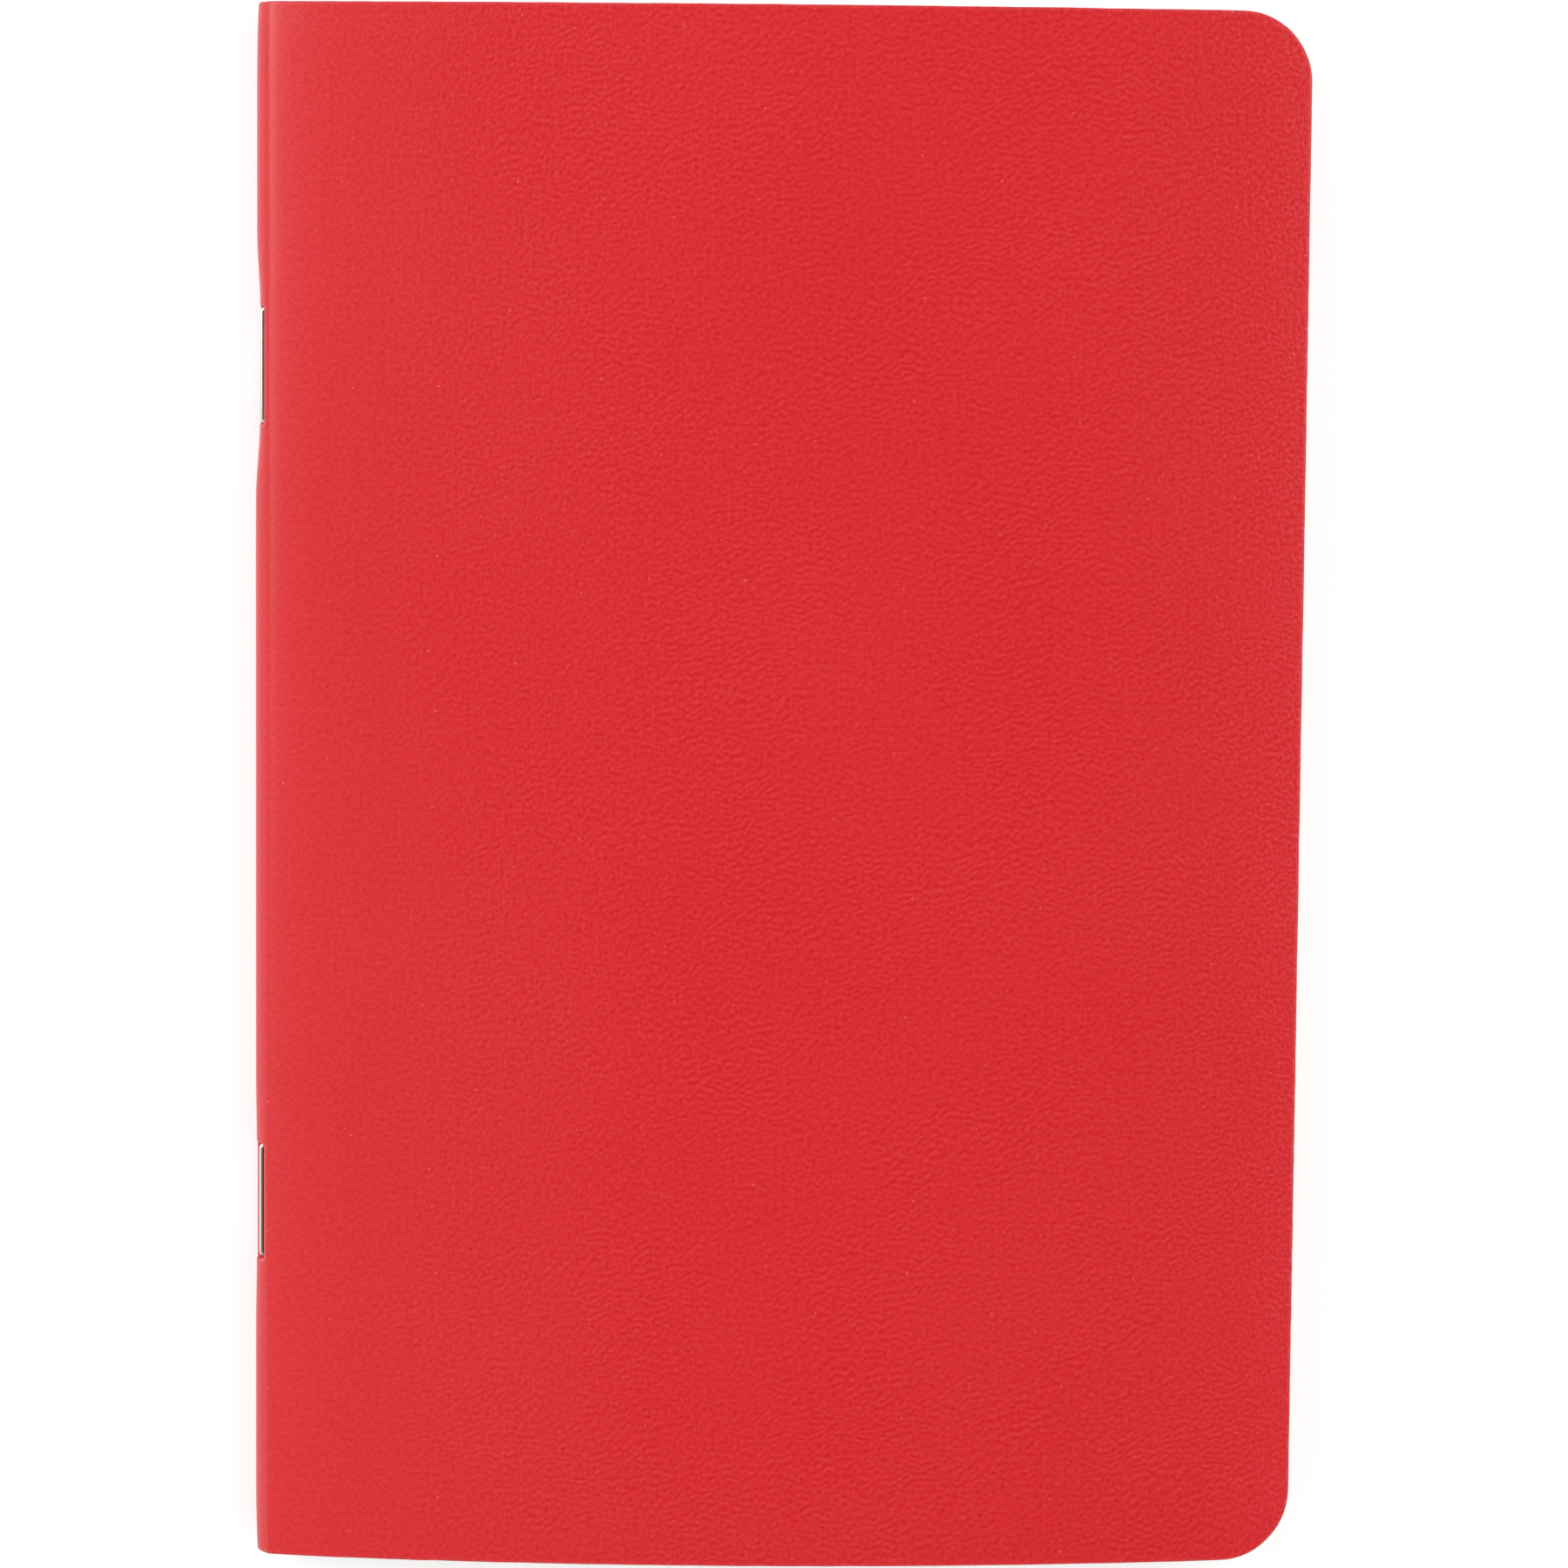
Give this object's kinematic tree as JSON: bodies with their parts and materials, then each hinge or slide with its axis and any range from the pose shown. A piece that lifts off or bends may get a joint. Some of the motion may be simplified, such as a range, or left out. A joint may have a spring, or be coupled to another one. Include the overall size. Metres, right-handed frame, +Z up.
{
  "type": "stapled exercise book",
  "caption": "Pocket exercise book with a grained red soft cover, rounded fore-edge corners and nested folded paper sheets held by wire staples; it opens about its spine.",
  "frame": {"origin": "under the middle of the closed book, on the plane that it lies on", "axes": "+X from the spine to the fore-edge, +Y along the spine to the head, +Z up out of the front cover"},
  "size_m": [0.094, 0.14, 0.0083],
  "materials": {
    "cover_leatherette": "fine wrinkled leatherette grain, satin",
    "paper": "uncoated ruled writing paper",
    "staple_wire": "bright galvanised wire"
  },
  "bodies": {
    "back_cover": {"back_cover": "cover_leatherette"},
    "front_cover": {"front_cover": "cover_leatherette"},
    "spine": {"cover_spine": "cover_leatherette", "staple_head": "staple_wire", "staple_tail": "staple_wire", "sheet_01_fold": "paper", "sheet_02_fold": "paper", "sheet_03_fold": "paper", "sheet_04_fold": "paper", "sheet_05_fold": "paper", "sheet_06_fold": "paper", "sheet_07_fold": "paper", "sheet_08_fold": "paper", "sheet_09_fold": "paper", "sheet_10_fold": "paper", "sheet_11_fold": "paper", "sheet_12_fold": "paper", "sheet_13_fold": "paper", "sheet_14_fold": "paper", "sheet_15_fold": "paper", "sheet_16_fold": "paper"},
    "sheet_01_back": {"sheet_01_back_leaf": "paper"},
    "sheet_01_front": {"sheet_01_front_leaf": "paper"},
    "sheet_02_back": {"sheet_02_back_leaf": "paper"},
    "sheet_02_front": {"sheet_02_front_leaf": "paper"},
    "sheet_03_back": {"sheet_03_back_leaf": "paper"},
    "sheet_03_front": {"sheet_03_front_leaf": "paper"},
    "sheet_04_back": {"sheet_04_back_leaf": "paper"},
    "sheet_04_front": {"sheet_04_front_leaf": "paper"},
    "sheet_05_back": {"sheet_05_back_leaf": "paper"},
    "sheet_05_front": {"sheet_05_front_leaf": "paper"},
    "sheet_06_back": {"sheet_06_back_leaf": "paper"},
    "sheet_06_front": {"sheet_06_front_leaf": "paper"},
    "sheet_07_back": {"sheet_07_back_leaf": "paper"},
    "sheet_07_front": {"sheet_07_front_leaf": "paper"},
    "sheet_08_back": {"sheet_08_back_leaf": "paper"},
    "sheet_08_front": {"sheet_08_front_leaf": "paper"},
    "sheet_09_back": {"sheet_09_back_leaf": "paper"},
    "sheet_09_front": {"sheet_09_front_leaf": "paper"},
    "sheet_10_back": {"sheet_10_back_leaf": "paper"},
    "sheet_10_front": {"sheet_10_front_leaf": "paper"},
    "sheet_11_back": {"sheet_11_back_leaf": "paper"},
    "sheet_11_front": {"sheet_11_front_leaf": "paper"},
    "sheet_12_back": {"sheet_12_back_leaf": "paper"},
    "sheet_12_front": {"sheet_12_front_leaf": "paper"},
    "sheet_13_back": {"sheet_13_back_leaf": "paper"},
    "sheet_13_front": {"sheet_13_front_leaf": "paper"},
    "sheet_14_back": {"sheet_14_back_leaf": "paper"},
    "sheet_14_front": {"sheet_14_front_leaf": "paper"},
    "sheet_15_back": {"sheet_15_back_leaf": "paper"},
    "sheet_15_front": {"sheet_15_front_leaf": "paper"},
    "sheet_16_back": {"sheet_16_back_leaf": "paper"},
    "sheet_16_front": {"sheet_16_front_leaf": "paper"}
  },
  "joints": [
    {"name": "cover_open", "type": "hinge", "parent": "back_cover", "child": "front_cover", "pos_m": [-0.04387, 0, 0.00313], "axis": [0, -1, 0], "range_deg": [0, 172]},
    {"name": "spine_turn", "type": "hinge", "parent": "back_cover", "child": "spine", "pos_m": [-0.04387, 0, 0.00313], "axis": [0, -1, 0], "range_deg": [0, 86], "deforming": ["cover_spine", "sheet_01_fold", "sheet_02_fold", "sheet_03_fold", "sheet_04_fold", "sheet_05_fold", "sheet_06_fold", "sheet_07_fold", "sheet_08_fold", "sheet_09_fold", "sheet_10_fold", "sheet_11_fold", "sheet_12_fold", "sheet_13_fold", "sheet_14_fold", "sheet_15_fold", "sheet_16_fold"]},
    {"name": "sheet_01_lift", "type": "hinge", "parent": "back_cover", "child": "sheet_01_back", "pos_m": [-0.04387, 0, 0.00313], "axis": [0, -1, 0], "range_deg": [0, 1.07]},
    {"name": "sheet_01_open", "type": "hinge", "parent": "sheet_01_back", "child": "sheet_01_front", "pos_m": [-0.04387, 0, 0.00313], "axis": [0, -1, 0], "range_deg": [0, 169.85]},
    {"name": "sheet_02_lift", "type": "hinge", "parent": "back_cover", "child": "sheet_02_back", "pos_m": [-0.04387, 0, 0.00313], "axis": [0, -1, 0], "range_deg": [0, 2.15]},
    {"name": "sheet_02_open", "type": "hinge", "parent": "sheet_02_back", "child": "sheet_02_front", "pos_m": [-0.04387, 0, 0.00313], "axis": [0, -1, 0], "range_deg": [0, 167.7]},
    {"name": "sheet_03_lift", "type": "hinge", "parent": "back_cover", "child": "sheet_03_back", "pos_m": [-0.04387, 0, 0.00313], "axis": [0, -1, 0], "range_deg": [0, 3.23]},
    {"name": "sheet_03_open", "type": "hinge", "parent": "sheet_03_back", "child": "sheet_03_front", "pos_m": [-0.04387, 0, 0.00313], "axis": [0, -1, 0], "range_deg": [0, 165.55]},
    {"name": "sheet_04_lift", "type": "hinge", "parent": "back_cover", "child": "sheet_04_back", "pos_m": [-0.04387, 0, 0.00313], "axis": [0, -1, 0], "range_deg": [0, 4.3]},
    {"name": "sheet_04_open", "type": "hinge", "parent": "sheet_04_back", "child": "sheet_04_front", "pos_m": [-0.04387, 0, 0.00313], "axis": [0, -1, 0], "range_deg": [0, 163.4]},
    {"name": "sheet_05_lift", "type": "hinge", "parent": "back_cover", "child": "sheet_05_back", "pos_m": [-0.04387, 0, 0.00313], "axis": [0, -1, 0], "range_deg": [0, 5.38]},
    {"name": "sheet_05_open", "type": "hinge", "parent": "sheet_05_back", "child": "sheet_05_front", "pos_m": [-0.04387, 0, 0.00313], "axis": [0, -1, 0], "range_deg": [0, 161.25]},
    {"name": "sheet_06_lift", "type": "hinge", "parent": "back_cover", "child": "sheet_06_back", "pos_m": [-0.04387, 0, 0.00313], "axis": [0, -1, 0], "range_deg": [0, 6.45]},
    {"name": "sheet_06_open", "type": "hinge", "parent": "sheet_06_back", "child": "sheet_06_front", "pos_m": [-0.04387, 0, 0.00313], "axis": [0, -1, 0], "range_deg": [0, 159.1]},
    {"name": "sheet_07_lift", "type": "hinge", "parent": "back_cover", "child": "sheet_07_back", "pos_m": [-0.04387, 0, 0.00313], "axis": [0, -1, 0], "range_deg": [0, 7.53]},
    {"name": "sheet_07_open", "type": "hinge", "parent": "sheet_07_back", "child": "sheet_07_front", "pos_m": [-0.04387, 0, 0.00313], "axis": [0, -1, 0], "range_deg": [0, 156.95]},
    {"name": "sheet_08_lift", "type": "hinge", "parent": "back_cover", "child": "sheet_08_back", "pos_m": [-0.04387, 0, 0.00313], "axis": [0, -1, 0], "range_deg": [0, 8.6]},
    {"name": "sheet_08_open", "type": "hinge", "parent": "sheet_08_back", "child": "sheet_08_front", "pos_m": [-0.04387, 0, 0.00313], "axis": [0, -1, 0], "range_deg": [0, 154.8]},
    {"name": "sheet_09_lift", "type": "hinge", "parent": "back_cover", "child": "sheet_09_back", "pos_m": [-0.04387, 0, 0.00313], "axis": [0, -1, 0], "range_deg": [0, 9.68]},
    {"name": "sheet_09_open", "type": "hinge", "parent": "sheet_09_back", "child": "sheet_09_front", "pos_m": [-0.04387, 0, 0.00313], "axis": [0, -1, 0], "range_deg": [0, 152.65]},
    {"name": "sheet_10_lift", "type": "hinge", "parent": "back_cover", "child": "sheet_10_back", "pos_m": [-0.04387, 0, 0.00313], "axis": [0, -1, 0], "range_deg": [0, 10.75]},
    {"name": "sheet_10_open", "type": "hinge", "parent": "sheet_10_back", "child": "sheet_10_front", "pos_m": [-0.04387, 0, 0.00313], "axis": [0, -1, 0], "range_deg": [0, 150.5]},
    {"name": "sheet_11_lift", "type": "hinge", "parent": "back_cover", "child": "sheet_11_back", "pos_m": [-0.04387, 0, 0.00313], "axis": [0, -1, 0], "range_deg": [0, 11.83]},
    {"name": "sheet_11_open", "type": "hinge", "parent": "sheet_11_back", "child": "sheet_11_front", "pos_m": [-0.04387, 0, 0.00313], "axis": [0, -1, 0], "range_deg": [0, 148.35]},
    {"name": "sheet_12_lift", "type": "hinge", "parent": "back_cover", "child": "sheet_12_back", "pos_m": [-0.04387, 0, 0.00313], "axis": [0, -1, 0], "range_deg": [0, 12.9]},
    {"name": "sheet_12_open", "type": "hinge", "parent": "sheet_12_back", "child": "sheet_12_front", "pos_m": [-0.04387, 0, 0.00313], "axis": [0, -1, 0], "range_deg": [0, 146.2]},
    {"name": "sheet_13_lift", "type": "hinge", "parent": "back_cover", "child": "sheet_13_back", "pos_m": [-0.04387, 0, 0.00313], "axis": [0, -1, 0], "range_deg": [0, 13.97]},
    {"name": "sheet_13_open", "type": "hinge", "parent": "sheet_13_back", "child": "sheet_13_front", "pos_m": [-0.04387, 0, 0.00313], "axis": [0, -1, 0], "range_deg": [0, 144.05]},
    {"name": "sheet_14_lift", "type": "hinge", "parent": "back_cover", "child": "sheet_14_back", "pos_m": [-0.04387, 0, 0.00313], "axis": [0, -1, 0], "range_deg": [0, 15.05]},
    {"name": "sheet_14_open", "type": "hinge", "parent": "sheet_14_back", "child": "sheet_14_front", "pos_m": [-0.04387, 0, 0.00313], "axis": [0, -1, 0], "range_deg": [0, 141.9]},
    {"name": "sheet_15_lift", "type": "hinge", "parent": "back_cover", "child": "sheet_15_back", "pos_m": [-0.04387, 0, 0.00313], "axis": [0, -1, 0], "range_deg": [0, 16.12]},
    {"name": "sheet_15_open", "type": "hinge", "parent": "sheet_15_back", "child": "sheet_15_front", "pos_m": [-0.04387, 0, 0.00313], "axis": [0, -1, 0], "range_deg": [0, 139.75]},
    {"name": "sheet_16_lift", "type": "hinge", "parent": "back_cover", "child": "sheet_16_back", "pos_m": [-0.04387, 0, 0.00313], "axis": [0, -1, 0], "range_deg": [0, 17.2]},
    {"name": "sheet_16_open", "type": "hinge", "parent": "sheet_16_back", "child": "sheet_16_front", "pos_m": [-0.04387, 0, 0.00313], "axis": [0, -1, 0], "range_deg": [0, 137.6]}
  ],
  "couplings": [
    {"joint": "spine_turn", "follows": "cover_open", "ratio": 0.5},
    {"joint": "sheet_01_lift", "follows": "cover_open", "ratio": 0.00625},
    {"joint": "sheet_01_open", "follows": "cover_open", "ratio": 0.9875},
    {"joint": "sheet_02_lift", "follows": "cover_open", "ratio": 0.0125},
    {"joint": "sheet_02_open", "follows": "cover_open", "ratio": 0.975},
    {"joint": "sheet_03_lift", "follows": "cover_open", "ratio": 0.01875},
    {"joint": "sheet_03_open", "follows": "cover_open", "ratio": 0.9625},
    {"joint": "sheet_04_lift", "follows": "cover_open", "ratio": 0.025},
    {"joint": "sheet_04_open", "follows": "cover_open", "ratio": 0.95},
    {"joint": "sheet_05_lift", "follows": "cover_open", "ratio": 0.03125},
    {"joint": "sheet_05_open", "follows": "cover_open", "ratio": 0.9375},
    {"joint": "sheet_06_lift", "follows": "cover_open", "ratio": 0.0375},
    {"joint": "sheet_06_open", "follows": "cover_open", "ratio": 0.925},
    {"joint": "sheet_07_lift", "follows": "cover_open", "ratio": 0.04375},
    {"joint": "sheet_07_open", "follows": "cover_open", "ratio": 0.9125},
    {"joint": "sheet_08_lift", "follows": "cover_open", "ratio": 0.05},
    {"joint": "sheet_08_open", "follows": "cover_open", "ratio": 0.9},
    {"joint": "sheet_09_lift", "follows": "cover_open", "ratio": 0.05625},
    {"joint": "sheet_09_open", "follows": "cover_open", "ratio": 0.8875},
    {"joint": "sheet_10_lift", "follows": "cover_open", "ratio": 0.0625},
    {"joint": "sheet_10_open", "follows": "cover_open", "ratio": 0.875},
    {"joint": "sheet_11_lift", "follows": "cover_open", "ratio": 0.06875},
    {"joint": "sheet_11_open", "follows": "cover_open", "ratio": 0.8625},
    {"joint": "sheet_12_lift", "follows": "cover_open", "ratio": 0.075},
    {"joint": "sheet_12_open", "follows": "cover_open", "ratio": 0.85},
    {"joint": "sheet_13_lift", "follows": "cover_open", "ratio": 0.08125},
    {"joint": "sheet_13_open", "follows": "cover_open", "ratio": 0.8375},
    {"joint": "sheet_14_lift", "follows": "cover_open", "ratio": 0.0875},
    {"joint": "sheet_14_open", "follows": "cover_open", "ratio": 0.825},
    {"joint": "sheet_15_lift", "follows": "cover_open", "ratio": 0.09375},
    {"joint": "sheet_15_open", "follows": "cover_open", "ratio": 0.8125},
    {"joint": "sheet_16_lift", "follows": "cover_open", "ratio": 0.1},
    {"joint": "sheet_16_open", "follows": "cover_open", "ratio": 0.8}
  ]
}
